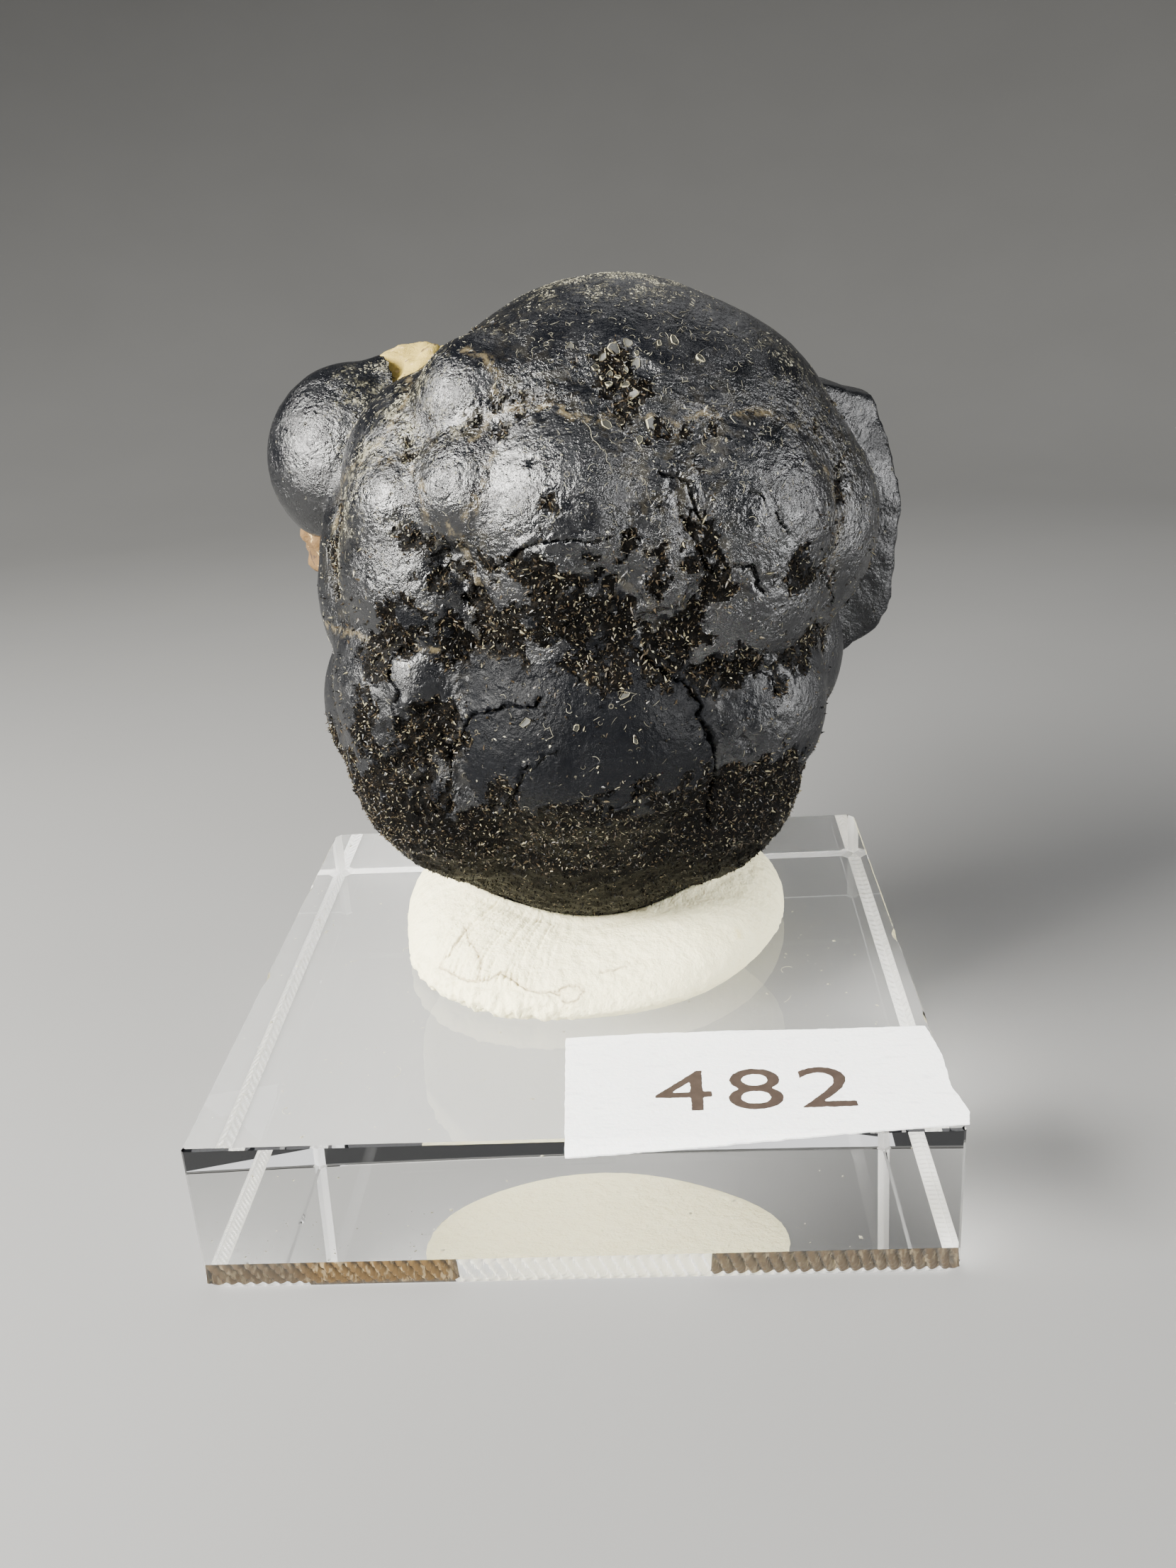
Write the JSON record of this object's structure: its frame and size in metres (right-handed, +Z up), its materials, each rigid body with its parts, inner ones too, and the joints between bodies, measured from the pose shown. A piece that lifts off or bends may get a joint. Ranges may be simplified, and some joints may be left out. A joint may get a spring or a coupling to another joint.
{
  "type": "cassiterite specimen",
  "caption": "Black botryoidal cassiterite nodule with host rock in its back, held by off-white putty on a square clear acrylic display block with a small paper label.",
  "frame": {"origin": "middle of the display block's underside, on the surface that it stands on", "axes": "+Z up, +X to the right seen from the front, -Y to the front, where the label lies"},
  "size_m": [0.0508, 0.0516, 0.0619],
  "materials": {
    "cassiterite": "satin to greasy black mineral with a blue-grey sheen, rough drusy crust in the creases and round the foot",
    "rhyolite": "dull, granular tan and pale yellow rock",
    "putty": "soft off-white putty with pressed creases",
    "acrylic": "clear polished acrylic with machined edges",
    "paper": "matt white paper"
  },
  "bodies": {
    "root": {"cassiterite_nodule": "cassiterite", "rhyolite_matrix": "rhyolite", "mounting_putty": "putty", "acrylic_base": "acrylic", "paper_label": "paper"}
  },
  "joints": []
}
